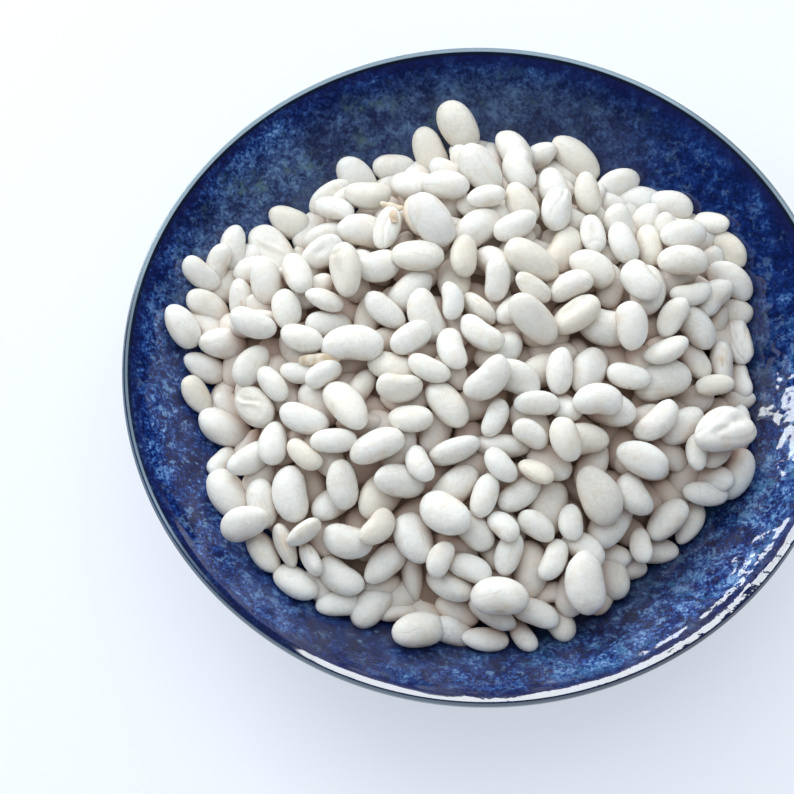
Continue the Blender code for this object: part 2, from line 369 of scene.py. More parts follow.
# The inside stands above the plain one near the lip: by how much, from which radius and over how far
WALL_LIFT = 1.2 * MM
LIFT_FROM = 58 * MM
LIFT_OVER = 37 * MM


def inner_height(radius):
    """Height of the plain bowl's inside at a distance from its axis."""
    lip = RIM_RADIUS - LIP_RADIUS
    rise = RIM_HEIGHT - LIP_RADIUS - WELL_HEIGHT
    return WELL_HEIGHT + rise * (np.minimum(radius, lip) / lip) ** WALL_POWER


def wall_lift(radius):
    """How far the real inside stands above the plain one."""
    along = np.clip((radius - LIFT_FROM) / LIFT_OVER, 0, 1)
    return WALL_LIFT * along * along * (3 - 2 * along)


print("inside at the lip:", round(float(inner_height(RIM_RADIUS) + wall_lift(RIM_RADIUS)), 4), "m high")

# %% Bowl section
SHOULDER = RIM_RADIUS - 5.4 * MM
LIP_CORNERS = (
    (RIM_RADIUS - 3.0 * MM, RIM_HEIGHT - 1.33 * MM),
    (RIM_RADIUS - 0.55 * MM, RIM_HEIGHT),
    (RIM_RADIUS + 0.15 * MM, RIM_HEIGHT - 1.3 * MM),
    (RIM_RADIUS - 0.3 * MM, RIM_HEIGHT - 3.9 * MM),
    (RIM_RADIUS - 2.8 * MM, RIM_HEIGHT - 5.6 * MM),
)
LIP_ROUNDINGS = (0.7 * MM, 0.4 * MM, 0.6 * MM, 1.0 * MM)
FOOT_ROUNDINGS = (1.0 * MM, 1.2 * MM, 1.2 * MM, 1.0 * MM)
FOOT_FLARE = 1.2 * MM
# The outside starts and ends at these shares of the way from the lip to the foot ring
OUTSIDE_FROM = 0.16
OUTSIDE_TO = 0.97


def rounded(corners, radii, steps=6):
    """A line through corner points, with each inner corner rounded off."""
    points = [Vector(corners[0])]
    for before, corner, after, radius in zip(corners, corners[1:], corners[2:], radii):
        before, corner, after = Vector(before), Vector(corner), Vector(after)
        start = corner + (before - corner).normalized() * radius
        end = corner + (after - corner).normalized() * radius
        for t in np.linspace(0, 1, steps + 1):
            points.append(start.lerp(corner, t).lerp(corner.lerp(end, t), t))
    points.append(Vector(corners[-1]))
    return points


def inside_point(x):
    return Vector((x, float(inner_height(x) + wall_lift(x))))


def outside_point(share):
    """A point of the outside: the inside moved out by the wall's thickness there."""
    x = RIM_RADIUS - WALL_AT_LIP - share * (RIM_RADIUS - WALL_AT_LIP - FOOT_RADIUS)
    wall = WALL_AT_LIP + share * (WALL_AT_FOOT - WALL_AT_LIP)
    slope = (inner_height(x + MM) - inner_height(x - MM)) / (2 * MM)
    return Vector((x, inner_height(x) - wall * math.hypot(1, slope)))


def bowl_section():
    """Half a section, from the middle of the inside to the middle of the underside."""
    inside = [inside_point(x) for x in np.linspace(0, SHOULDER, 90)]
    lip = rounded([inside[-1], *LIP_CORNERS], LIP_ROUNDINGS, 10)
    outside = [outside_point(share) for share in np.linspace(OUTSIDE_FROM, OUTSIDE_TO, 40)]
    foot_inside = FOOT_RADIUS - FOOT_WIDTH
    foot_corners = (
        outside[-1],
        (FOOT_RADIUS - 0.1 * MM, outside[-1].y - FOOT_FLARE),
        (FOOT_RADIUS - FOOT_EDGE / 2, 0),
        (foot_inside + FOOT_EDGE / 2, 0),
        (foot_inside - FOOT_EDGE, FOOT_RECESS),
        (0, FOOT_RECESS),
    )
    return inside + lip[1:-1] + outside[:-1] + rounded(foot_corners, FOOT_ROUNDINGS)


section = bowl_section()
print("points of the half section:", len(section))


# %% Turn the bowl
def make_bowl(section):
    mesh = bpy.data.meshes.new("stoneware_bowl")
    lines = [(i, i + 1) for i in range(len(section) - 1)]
    mesh.from_pydata([(point.x, 0, point.y) for point in section], lines, [])
    bowl = put_in_scene("stoneware_bowl", mesh)
    turn = bowl.modifiers.new("turn", "SCREW")
    turn.steps = BOWL_STEPS
    turn.render_steps = BOWL_STEPS
    turn.use_merge_vertices = True
    turn.merge_threshold = 0.01 * MM
    made_real(bowl)
    face_outwards(bowl.data)
    bowl.data.shade_smooth()
    return bowl


bowl = make_bowl(section)
print("bowl:", len(bowl.data.polygons), "faces,", round(bowl.dimensions.x, 4), "m wide")

# %% [markdown]
# Glaze
# The glaze is a thick blue glass. Metal oxides have run together in it in clouds, patches and grains,
# so three noises of those sizes are added up, and one ramp turns the sum into blues. A picture
# wrapped round the bowl could show this too, but it would stretch on the wall and stay flat in the
# light. Coats with masks by place then do what the kiln did: grey green clouds far left, copper blue
# flecks near right, pale dots in front, dark where the glaze pooled inside the lip, pale where it ran
# thin on the edge, and bare clay under the foot. The glaze is also darker towards the front and far
# right and greyer at the back near the heap. Some coats are painted light: a painted shade beside the
# heap on the right, a painted shine along the top of the lip at the back, and on the edge a painted
# reflection of the pale room over the thin glaze, painted dark as in shade at the front right. A weak
# bump gives the ripples that break up the mirrored window.

# %% Places on the bowl
GLAZE_ROUGHNESS = 0.06
GLASS = {"IOR": 1.6, "Specular_IOR_Level": 0.9}


def bowl_places(place):
    """Masks from 0 to 1 for the places on the bowl, and the noises of clouds, patches and grains."""
    x, y, z = place.parts()
    radius = (x * x + y * y) ** 0.5
    at = SimpleNamespace(place=place, x=x, y=y, z=z, radius=radius)
    at.cloud = place.noise(48, 3, 0.6, 0.4)
    at.patch = place.moved((0.3, 0.1, 0.2)).noise(210, 4, 0.72, 0.3)
    at.grain = place.noise(1000, 2, 0.7)
    at.wall = radius.ramp(0.050, 0.080) * radius.ramp(0.099, 0.090)
    at.front = y.ramp(0.03, -0.06)
    at.back = y.ramp(0.0, 0.06)
    at.left = x.ramp(-0.03, -0.085)
    at.right = x.ramp(0.03, 0.07)
    at.near_right = (x - y).ramp(0.04, 0.12) * at.wall
    at.far_right = (x + y).ramp(0.02, 0.10)
    at.far_left = (y - x * 0.5).ramp(0.03, 0.085) * radius.ramp(0.098, 0.088)
    at.foot = z.ramp(0.0022, 0.0012)
    return at


glaze, glaze_shader, on_bowl = new_material("mottled blue glaze", GLAZE_ROUGHNESS, **GLASS)
at_bowl = bowl_places(on_bowl)
print("masks and noises:", list(vars(at_bowl)))

# %% Blues of the glaze
GLAZE_STOPS = [
    (0.30, srgb(13, 25, 72)),
    (0.41, srgb(17, 38, 100)),
    (0.52, srgb(31, 63, 136)),
    (0.63, srgb(70, 114, 178)),
    (0.77, srgb(140, 178, 220)),
]


def mottled_blue(at):
    tone = at.cloud * 0.5 + at.patch * 0.85
    tone = tone + (at.grain - 0.5) * (0.55 + 0.45 * at.left + 0.4 * at.near_right)
    tone = tone + (at.patch - 0.5) * at.near_right * 0.35 + at.wall * 0.06 + at.near_right * 0.05
    tone = tone - at.back * 0.02 - at.far_right * 0.05 - at.front * 0.045 - 0.23
    return tone.node("ShaderNodeValToRGB", {"stops": GLAZE_STOPS}, {0: tone})


def metal_coats(at):
    """Iron greens the glaze far left, and copper flecks it near right."""
    place = at.place
    slate = (at.patch * 0.6 + at.cloud * 0.25 + at.grain * 0.45).ramp(0.50, 0.82)
    olive = place.moved((0.7, 0.2, 0)).noise(130, 4, 0.72).ramp(0.52, 0.66) * at.far_left
    fleck = place.moved((0.2, 0.9, 0)).noise(420, 2, 0.6).ramp(0.42, 0.60)
    copper = place.moved((0.1, 0.8, 0)).noise(250, 5, 0.75) * 0.7 + at.cloud * 0.3
    pale = place.moved((0.5, 0.3, 0)).noise(290, 3, 0.75).ramp(0.55, 0.66)
    pale = pale * at.wall * (1 - at.far_left)
    return (
        (at.far_left * (0.3 + 0.4 * slate), slate.blend(srgb(26, 46, 90), srgb(100, 132, 166))),
        (olive * (0.2 + 0.4 * fleck), srgb(92, 124, 122)),
        (copper.ramp(0.51, 0.62) * at.near_right * 0.7, srgb(66, 132, 176)),
        (pale * (0.32 + 0.4 * at.left + 0.4 * at.near_right), srgb(128, 168, 214)),
    )


def darker_and_painted_shade_coats(at):
    """Darker towards the front and far right, a painted shade beside the heap, pale dots in front, and
    greyer at the back near the heap.
    """
    dull = (at.front * 0.5 * (1 - at.left) + at.far_right * 0.4) * (1 - at.near_right)
    # Painted shade: the glaze is darker where the heap's shadow falls beside it on the right and front.
    painted_shade_beside_heap = (at.x - at.y).ramp(0.02, 0.08) * at.radius.ramp(0.090, 0.074)
    dot = at.place.cells(270).ramp(0.22, 0.12) * at.place.noise(90, 1).ramp(0.42, 0.55)
    dot = dot * at.front * (1 - 0.7 * at.near_right) * at.wall
    return (
        (dull, srgb(17, 28, 62)),
        (painted_shade_beside_heap * 0.65, srgb(12, 20, 46)),
        (dot * 0.5, srgb(104, 142, 176)),
        (at.back * at.radius.ramp(0.088, 0.06) * 0.5, srgb(34, 48, 82)),
    )


glaze_colour = coated(mottled_blue(at_bowl), metal_coats(at_bowl) + darker_and_painted_shade_coats(at_bowl))
print("glaze nodes:", len(glaze.node_tree.nodes))


# %% Lip and foot
def lip_and_foot_coats(at):
    """Dark just inside the lip, a pale edge, a painted shine along the top of the lip, and bare clay on
    the foot.
    """
    x, y, z, radius = at.x, at.y, at.z, at.radius
    # The edge is pale where the glaze runs thin; the pale also stands for a painted reflection of the
    # pale room, and towards the front right, away from the windows, the edge is painted dark, a painted
    # shade.
    outside = radius.ramp(0.0993, 0.0996) * 0.6 + z.ramp(0.0389, 0.0385) * radius.ramp(0.0976, 0.0980)
    thin_edge_with_painted_light = (y - x * 0.6).ramp(-0.13, -0.09).blend(srgb(30, 38, 70), srgb(102, 126, 142))
    thin_edge_with_painted_light = (x - y * 0.4).ramp(-0.03, -0.08).blend(thin_edge_with_painted_light, srgb(62, 98, 124))
    # A painted shine: a pale line along the top of the lip, missing at the front, reaching further out at
    # the back and weaker far left and right.
    painted_shine = radius.ramp(0.0983, 0.0986) * (radius.ramp(0.0993, 0.0990) + y.ramp(0.01, 0.035))
    painted_shine = painted_shine * y.ramp(-0.075, -0.03)
    painted_shine = painted_shine * (0.7 + 0.3 * at.place.noise(60, 3)) * (1 - 0.35 * y.ramp(0.06, 0.1))
    painted_shine = painted_shine * (1 - 0.45 * x.ramp(-0.085, -0.096)) * (1 - 0.65 * x.ramp(0.03, 0.075))
    clay = at.place.noise(500, 3).blend(srgb(186, 162, 134), srgb(150, 124, 98))
    return (
        (radius.ramp(0.0945, 0.0968) * 0.6, srgb(30, 34, 80)),
        (radius.ramp(0.0972, 0.0978) * (0.85 - 0.4 * at.front), srgb(22, 31, 42)),
        (outside.at_most(1.0), thin_edge_with_painted_light),
        (painted_shine.at_most(0.9), srgb(186, 208, 220)),
        (at.foot, clay),
    )


glaze_colour = coated(glaze_colour, lip_and_foot_coats(at_bowl))
print("glaze nodes with lip and foot:", len(glaze.node_tree.nodes))


# %% Ripples
RIPPLE_HEIGHT = 0.2 * MM


def ripples(at):
    """Height of the waves, which are finer and higher on the right, near the lip."""
    place, radius, right = at.place, at.radius, at.right
    front_right = (at.x - at.y).ramp(0.075, 0.11) * at.y.ramp(-0.01, -0.04)
    height = place.noise(125, 1, 0.4, 0.3) * 2.5 + place.noise(320, 1) * (0.05 + 0.3 * right)
    height = height * (0.25 + 0.75 * right * radius.ramp(0.072, 0.086) + 0.25 * radius.ramp(0.080, 0.092))
    height = height * (1 - 0.6 * radius.ramp(0.0935, 0.0955) * (1 - 0.5 * right))
    height = height * (1 + 0.3 * front_right * radius.ramp(0.080, 0.088))
    return height + place.noise(520, 1) * 0.28 * front_right * radius.ramp(0.084, 0.090)


feed(glaze_shader, Normal=ripples(at_bowl).bump(RIPPLE_HEIGHT))
print("glaze nodes with ripples:", len(glaze.node_tree.nodes))

# %% Glaze
# The glaze is a little softer in the well, and dull where the clay is bare
SOFTER_IN_WELL = 0.3
DULLER_ON_CLAY = 0.7
in_well = at_bowl.radius.ramp(0.097, 0.085) * at_bowl.x.ramp(0.062, 0.04)
dullness = GLAZE_ROUGHNESS + DULLER_ON_CLAY * at_bowl.foot + in_well * SOFTER_IN_WELL
feed(glaze_shader, Base_Color=glaze_colour, Roughness=dullness)
bowl.data.materials.append(glaze)
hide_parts("bowl")
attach(bowl, "root")
print("finish of the bowl:", bowl.data.materials[0].name)

# %% [markdown]
# Heap
# Beans poured into a bowl settle where they rest lowest. The same rule lays them here, one by one,
# on a grid of heights: a bean is tried at many angles near a place, and the one that lies
# lowest is kept. A physics simulation could do it too, but it takes minutes, and it wouldn't put
# the beans that we see in their places. The rule and its numbers are those of the plain solid, so
# the heap has the same form.

# %% Heap sizes
# The heap's smooth form, the bed that the beans are laid on, and how much lower they lie here than in
# the plain solid
HEAP_CENTRE_X = -3.5 * MM
HEAP_CENTRE_Y = -1 * MM
HEAP_TOP = 52 * MM
HEAP_POWER = 2.2
HEAP_EDGE = 7.5 * MM
HEAP_BEYOND_EDGE_BEANS = 5 * MM
BED_DEPTH = 15.5 * MM
BEAN_CLEARANCE = 1.3 * MM
HEAP_DROP = 1.05 * MM

# Lengths, the width as a share of the length, and the thickness as a share of the width. A bean is
# tried at a fit of its size, so that it sinks into its neighbours a little.
BEAN_LENGTH = 14.2 * MM
BEAN_LENGTH_SPREAD = 1.5 * MM
BEAN_SHORTEST = 10.8 * MM
BEAN_LONGEST = 17.5 * MM
BEAN_WIDTH = 0.66
BEAN_THICKNESS = 0.72
BEAN_FIT = 0.98
PLACED_BEAN_FIT = 0.93

# Lowest and highest factor on a bean's width and thickness
WIDTH_FACTORS = (0.88, 1.12)
THICKNESS_FACTORS = (0.9, 1.1)
# Spread of a bean's angles in radians
TURN_SPREAD = 0.05
PITCH_SPREAD = 0.22
ROLL_SPREAD = 0.28

# The grid of heights, the spots where a bean is tried, how far it may wander from its spot or be
# nudged from its place, and how near to its form the heap is filled
SEED = 7
GRID_STEP = 0.5 * MM
GRID_HALF = 100 * MM
GRID_LINE = np.arange(-GRID_HALF, GRID_HALF + GRID_STEP / 2, GRID_STEP)
SPOT_STEP = 2 * MM
AROUND_SPOT = 3 * MM
LACK_SPREAD = 0.4 * MM
TRIES = 48
WANDER = 4 * MM
NUDGE = 1.2 * MM
ON_EDGE_SHARE = 0.09
FILL_SHORT_OF_EDGE_BEANS = 3 * MM
TOP_BEANS_DEPTH = 11.5 * MM
FULL_DEPTH = 1.6 * MM
PROUD = 2.6 * MM

print("grid lines:", len(GRID_LINE))

# %% Beans placed after the photograph
# Beans at the heap's edge: x and y in mm, turn in degrees, length in mm
EDGE_BEANS = (
    (-6, 79, 126, 16), (-14, 72, 109, 16), (-25, 68, 177, 13), (-34, 63, 118, 17),
    (-42, 57, 30, 14), (-55, 50, 160, 13), (-60, 39, 127, 17), (-71, 39, 95, 14),
    (-80, 30, 150, 13), (-78, 21, 159, 14), (-85, 13, 122, 14), (-78, 3, 165, 13),
    (-80, -6, 120, 12), (-72, -16, 158, 16), (-73, -26, 60, 11), (-70, -38, 125, 17),
    (-61, -54, 120, 14), (-52, -62, 142, 14), (-40, -69, 12, 14), (-24, -70, 8, 12),
    (-19, -77, 8, 15), (0, -79, 0, 13), (11, -78, 120, 11), (20, -73, 130, 14),
    (33, -65, 60, 13), (41, -57, 15, 10), (58, -44, 65, 13), (71, -31, 72, 15),
    (72, -16, 85, 15), (74, 0, 100, 12), (73, 12, 100, 15), (72, 30, 140, 15),
    (71, 39, 130, 13), (67, 46, 150, 12), (55, 54, 165, 15), (41, 61, 30, 14),
    (29, 70, 135, 17), (18, 70, 20, 12),
)

# Large beans on top of the heap, in the same terms
TOP_BEANS = (
    (-35, 1, 170, 18), (-15, 11, 112, 16), (-17, 27, 172, 15), (-37, 24, 100, 16),
    (-15, 38, 125, 17), (-8, -2, 98, 14), (13, 26, 155, 17), (13, 8, 135, 17),
    (31, 25, 140, 14), (45, 19, 125, 14), (40, 7, 95, 14), (50, 0, 30, 14),
    (27, 10, 32, 15), (1, -10, 38, 15), (56, 28, 5, 15), (32, -17, 3, 14),
    (23, -28, 105, 13), (30, -40, 115, 17), (42, -30, 152, 15), (26, -65, 95, 17),
    (3, -71, 177, 16), (-28, -28, 25, 16), (-37, -18, 120, 18), (-22, -11, 0, 13),
    (-24, -39, 0, 15), (-10, -48, 143, 16), (-64, -47, 17, 14), (-62, -13, 135, 14),
)
print("beans placed:", len(EDGE_BEANS), "at the edge and", len(TOP_BEANS), "on top")


# %% Form of the heap
def from_heap_centre(x, y):
    """Distance and direction of a place, seen from the middle of the heap."""
    from_x = x - HEAP_CENTRE_X
    from_y = y - HEAP_CENTRE_Y
    return np.hypot(from_x, from_y), np.arctan2(from_y, from_x)


def edge_reach(direction):
    """Distance from the middle of the heap to the ring of its edge beans."""
    edge = np.array(EDGE_BEANS) * MM
    reach, towards = from_heap_centre(edge[:, 0], edge[:, 1])
    return np.interp(direction, towards, reach, period=2 * math.pi)


def heap_height(x, y):
    """Height of the heap's smooth form over a place inside its edge."""
    reach, direction = from_heap_centre(x, y)
    radius = edge_reach(direction) + HEAP_BEYOND_EDGE_BEANS
    edge_x = HEAP_CENTRE_X + radius * np.cos(direction)
    edge_y = HEAP_CENTRE_Y + radius * np.sin(direction)
    edge = inner_height(np.hypot(edge_x, edge_y)) + HEAP_EDGE
    return edge + (HEAP_TOP - edge) * (1 - (reach / radius) ** HEAP_POWER)


def within_edge_beans(x, y, margin):
    reach, direction = from_heap_centre(x, y)
    return reach < edge_reach(direction) - margin


def cell(position):
    """Index of the grid line nearest to a position along X or Y."""
    return np.rint((position + GRID_HALF) / GRID_STEP).astype(int)


print("the heap is", round(float(heap_height(HEAP_CENTRE_X, HEAP_CENTRE_Y)), 4), "m high in its middle")


# %% Turns and steps
def steps_around(length):
    """Grid steps along X and Y, as far as a length to each side."""
    reach = math.ceil(length / GRID_STEP)
    span = np.arange(-reach, reach + 1)
    return [steps.ravel() for steps in np.meshgrid(span, span)]


def rotations(turn, pitch, roll):
    """One matrix for each set of angles: roll about the length, then pitch, then turn about Z."""
    ct, st = np.cos(turn), np.sin(turn)
    cp, sp = np.cos(pitch), np.sin(pitch)
    cr, sr = np.cos(roll), np.sin(roll)
    rows = (
        (ct * cp, ct * sp * sr - st * cr, ct * sp * cr + st * sr),
        (st * cp, st * sp * sr + ct * cr, st * sp * cr - ct * sr),
        (-sp, cp * sr, cp * cr),
    )
    return np.moveaxis(np.array(rows), 2, 0)


print("grid steps that a bean of usual length covers:", len(steps_around(BEAN_LENGTH / 2)[0]))


# %% A pile of beans
class Pile:
    """Beans laid one by one on a grid of heights."""

    def __init__(self, ground, rng):
        self.height = ground.copy()
        self.owner = np.full(ground.shape, -1)
        self.beans = []
        self.rng = rng

    def bean_size(self, length=None):
        """Half length, half width and half thickness of one more bean."""
        drawn = self.rng.normal(BEAN_LENGTH, BEAN_LENGTH_SPREAD)
        length = length or min(max(drawn, BEAN_SHORTEST), BEAN_LONGEST)
        width = length * BEAN_WIDTH * self.rng.uniform(*WIDTH_FACTORS)
        thickness = width * BEAN_THICKNESS * self.rng.uniform(*THICKNESS_FACTORS)
        return np.array((length, width, thickness)) / 2

    def settle(self, x, y, size, turn=None, on_edge=False):
        """Tries a bean near a place at many angles and keeps the one that lies lowest."""
        free = turn is None
        fit = BEAN_FIT if free else PLACED_BEAN_FIT
        turns = self.rng.uniform(0, math.pi, TRIES) if free else self.rng.normal(turn, TURN_SPREAD, TRIES)
        pitches = self.rng.normal(0, PITCH_SPREAD, TRIES)
        rolls = self.rng.normal(math.pi / 2 if on_edge else 0, ROLL_SPREAD, TRIES)
        wander = self.rng.uniform(-1, 1, (2, TRIES)) * (WANDER if free else NUDGE)
        matrices = rotations(turns, pitches, rolls)
        step_x, step_y = steps_around(size[0])
        columns = cell(x + wander[0])
        rows = cell(y + wander[1])
        inside, low, high = self.underside(matrices, size * fit, step_x * GRID_STEP, step_y * GRID_STEP)
        below = (rows[:, None] + step_y, columns[:, None] + step_x)
        rest = np.where(inside, self.height[below] - low, 0).max(axis=1)
        best = int(np.argmin(rest))
        x, y = (steps[best] * GRID_STEP - GRID_HALF for steps in (columns, rows))
        keep = inside[best]
        return {
            "centre": np.array((x, y, rest[best])),
            "matrix": matrices[best],
            "size": size,
            "rows": rows[best] + step_y[keep],
            "columns": columns[best] + step_x[keep],
            "tops": rest[best] + high[best][keep],
        }

    @staticmethod
    def underside(matrices, size, x, y):
        """Where an ellipsoid at each angle covers the steps x, y, and its lower and upper heights."""
        form = matrices @ np.diag(size**-2.0) @ matrices.transpose(0, 2, 1)
        lean = form[:, 0, 2, None] * x + form[:, 1, 2, None] * y
        across = form[:, 0, 0, None] * x * x + form[:, 1, 1, None] * y * y
        across += 2 * form[:, 0, 1, None] * x * y
        upright = form[:, 2, 2, None]
        room = lean * lean - upright * (across - 1)
        root = np.sqrt(np.maximum(room, 0))
        return room > 0, (-lean - root) / upright, (-lean + root) / upright

    def add(self, bean):
        rows, columns, tops = bean["rows"], bean["columns"], bean["tops"]
        higher = tops > self.height[rows, columns]
        self.height[rows[higher], columns[higher]] = tops[higher]
        self.owner[rows[higher], columns[higher]] = len(self.beans)
        self.beans.append(bean)

    def lay(self, placed):
        """Adds beans from a list of x, y, turn and length."""
        for x, y, turn, length in placed:
            size = self.bean_size(length * MM)
            self.add(self.settle(x * MM, y * MM, size, math.radians(turn)))

    def fill(self, depth):
        """Adds beans where the heap lacks most, until it lacks less than a depth everywhere."""
        lattice = np.arange(-GRID_HALF, GRID_HALF, SPOT_STEP)
        spot_x, spot_y = (line.ravel() for line in np.meshgrid(lattice, lattice))
        near = within_edge_beans(spot_x, spot_y, FILL_SHORT_OF_EDGE_BEANS)
        spot_x, spot_y = spot_x[near], spot_y[near]
        goal = heap_height(spot_x, spot_y)
        around = AROUND_SPOT * np.array([(i, j) for i in (-1, 0, 1) for j in (-1, 0, 1)])
        columns = cell(spot_x[:, None] + around[:, 0])
        rows = cell(spot_y[:, None] + around[:, 1])
        open_spots = np.ones(len(goal))
        while True:
            lack = goal - self.height[rows, columns].mean(axis=1)
            lack = open_spots * (lack + self.rng.normal(0, LACK_SPREAD, len(goal)))
            spot = int(np.argmax(lack))
            if lack[spot] < depth:
                return
            on_edge = self.rng.random() < ON_EDGE_SHARE
            bean = self.settle(spot_x[spot], spot_y[spot], self.bean_size(), on_edge=on_edge)
            x, y = bean["centre"][:2]
            proud = bean["tops"].max() > heap_height(x, y) + PROUD
            if proud or not within_edge_beans(x, y, FILL_SHORT_OF_EDGE_BEANS):
                open_spots[spot] = 0
            else:
                self.add(bean)


print("angles tried for each bean:", TRIES)


# %% Lay the beans
def pile_beans():
    """The whole heap, bean by bean."""
    x, y = np.meshgrid(GRID_LINE, GRID_LINE)
    floor = inner_height(np.hypot(x, y)) + BEAN_CLEARANCE
    pile = Pile(np.maximum(floor, heap_height(x, y) - BED_DEPTH), np.random.default_rng(SEED))
    pile.lay(EDGE_BEANS)
    pile.fill(TOP_BEANS_DEPTH)
    first = len(pile.beans)
    pile.lay(TOP_BEANS)
    placed = [*range(len(EDGE_BEANS)), *range(first, len(pile.beans))]
    pile.fill(FULL_DEPTH)
    return pile, placed


pile, placed_beans = pile_beans()
print("beans laid:", len(pile.beans), "of them placed after the photograph:", len(placed_beans))

# %% [markdown]
# The beans that we know
# The beans at the heap's edge and some large ones on top lie where the real ones do. The rule then
# fills the heap up between them, and a few of its beans come to lie over them. Those are taken away.
# One large shrivelled bean that lies on the right side of the heap is put down last.

# %% Uncover the placed beans
# A bean is taken away if it hides more grid cells than these of a bean at the edge or on top
MOST_COVERED_CELLS = 45
MOST_COVERED_ON_TOP = 90
# x and y in mm, turn in degrees, length in mm
SHRIVELLED_BEAN = (65, -23.5, 26, 18.5)


def covering_beans(pile, placed):
    """Other beans that lie over one of the placed beans and hide much of it from above."""
    covering = set()
    for index in placed:
        bean = pile.beans[index]
        most = MOST_COVERED_CELLS if index < len(EDGE_BEANS) else MOST_COVERED_ON_TOP
        owners, cells = np.unique(pile.owner[bean["rows"], bean["columns"]], return_counts=True)
        for owner, count in zip(owners, cells):
            if owner > index and owner not in placed and count > most:
                covering.add(int(owner))
    return covering


def uncovered(pile, placed):
    """The pile again, with the heights and owners of the beans that stay."""
    covering = covering_beans(pile, placed)
    again = Pile(inner_height(np.hypot(*np.meshgrid(GRID_LINE, GRID_LINE))), pile.rng)
    for index, bean in enumerate(pile.beans):
        if index not in covering:
            again.add(bean)
    return again


pile = uncovered(pile, placed_beans)
pile.lay([SHRIVELLED_BEAN])
print("beans that stay:", len(pile.beans))

# %% [markdown]
# Gaps
# A real heap has beans under every gap. Where none shows from above, one more is put down low
# between its neighbours, so that no glaze shows through the heap.

# %% Fill the gaps
GAP_SIZE = 2 * MM
# The largest share of empty cells that may stay round a place
WIDEST_GAP = 0.2
GAPS_SHORT_OF_EDGE_BEANS = 1 * MM
LEVEL_BLUR_CELLS = 8
BELOW_NEIGHBOURS = 4 * MM
# Spread of the turn, pitch and roll of a bean in a gap, in radians
GAP_BEAN_ANGLES = (3, 0.3, 0.3)


def blurred(heights, spread):
    """A grid with its bumps smoothed out over a number of cells."""
    steps = np.arange(-3 * spread, 3 * spread + 1)
    weights = np.exp(-((steps / spread) ** 2) / 2)
    weights /= weights.sum()
    for axis in (0, 1):
        heights = np.apply_along_axis(np.convolve, axis, heights, weights, "same")
    return heights


def gap_bean(pile, row, column, level, floor, rng):
    """A bean low in a gap: at the level given for the place, but never down through the bowl."""
    size = pile.bean_size()
    matrix = rotations(*rng.normal(0, GAP_BEAN_ANGLES, (1, 3)).T)
    step_x, step_y = steps_around(size[0])
    inside, low, high = pile.underside(matrix, size, step_x * GRID_STEP, step_y * GRID_STEP)
    keep = inside[0]
    rows, columns = row + step_y[keep], column + step_x[keep]
    centre = max(level[row, column], (floor[rows, columns] - low[0][keep]).max())
    return {
        "centre": np.array((GRID_LINE[column], GRID_LINE[row], centre)),
        "matrix": matrix[0],
        "size": size,
        "rows": rows,
        "columns": columns,
        "tops": centre + high[0][keep],
    }


def fill_gaps(pile, rng):
    """Puts a bean into each gap that no bean closes yet, the widest gap first."""
    x, y = np.meshgrid(GRID_LINE, GRID_LINE)
    floor = inner_height(np.hypot(x, y))
    level = blurred(pile.height, LEVEL_BLUR_CELLS) - BELOW_NEIGHBOURS
    gaps = (pile.owner < 0) & within_edge_beans(x, y, GAPS_SHORT_OF_EDGE_BEANS)
    count = 0
    while True:
        crowd = blurred(gaps.astype(float), round(GAP_SIZE / GRID_STEP)) * gaps
        row, column = np.unravel_index(np.argmax(crowd), crowd.shape)
        if crowd[row, column] < WIDEST_GAP:
            return count
        bean = gap_bean(pile, row, column, level, floor, rng)
        pile.add(bean)
        gaps[bean["rows"], bean["columns"]] = False
        count += 1


print("beans in the gaps:", fill_gaps(pile, np.random.default_rng(4)))

# %% [markdown]
# Core
# Light reaches the gaps between the upper beans only dimly. A lumpy mound under them closes the heap,
# so that no glaze shows through its middle. It is coloured a darker brown than a bean: a painted shade
# for the beans deep in the heap.

# %% Core
CORE_DEPTH = 12.5 * MM
CORE_SHORT_OF_EDGE_BEANS = 13 * MM
CORE_ABOVE_BOWL = 0.3 * MM
CORE_EDGE = 1.0 * MM
CORE_LUMP = 0.9 * MM
CORE_SIDES = 96
CORE_RINGS = 26
UNDERSIDE_SHARE = 0.96


def core_rings():
    """Rings of points, from the edge of the mound to near its top."""
    turn = np.linspace(0, 2 * math.pi, CORE_SIDES, endpoint=False)
    edge = edge_reach(turn) + HEAP_BEYOND_EDGE_BEANS - CORE_SHORT_OF_EDGE_BEANS
    rings = []
    for share in np.linspace(1, 1 / CORE_RINGS, CORE_RINGS):
        x = HEAP_CENTRE_X + edge * share * np.cos(turn)
        y = HEAP_CENTRE_Y + edge * share * np.sin(turn)
        floor = inner_height(np.hypot(x, y)) + CORE_ABOVE_BOWL
        waves = np.sin(x / (1.9 * MM) + 2 * np.sin(y / (3 * MM))) * np.sin(y / (2.2 * MM))
        z = np.maximum(floor, heap_height(x, y) - CORE_DEPTH + CORE_LUMP * waves)
        rings.append(np.stack((x, y, z if share < 1 else floor), axis=1))
    return rings


def core_points():
    """The rings, the top point, a ring under the edge and the middle of the underside."""
    rings = core_rings()
    top = np.array([(HEAP_CENTRE_X, HEAP_CENTRE_Y, HEAP_TOP - CORE_DEPTH)])
    under = rings[0] * np.array((UNDERSIDE_SHARE, UNDERSIDE_SHARE, 1)) - np.array((0, 0, CORE_EDGE))
    bottom = np.array([(HEAP_CENTRE_X, HEAP_CENTRE_Y, WELL_HEIGHT + 0.2 * MM)])
    return np.concatenate((*rings, top, under, bottom))


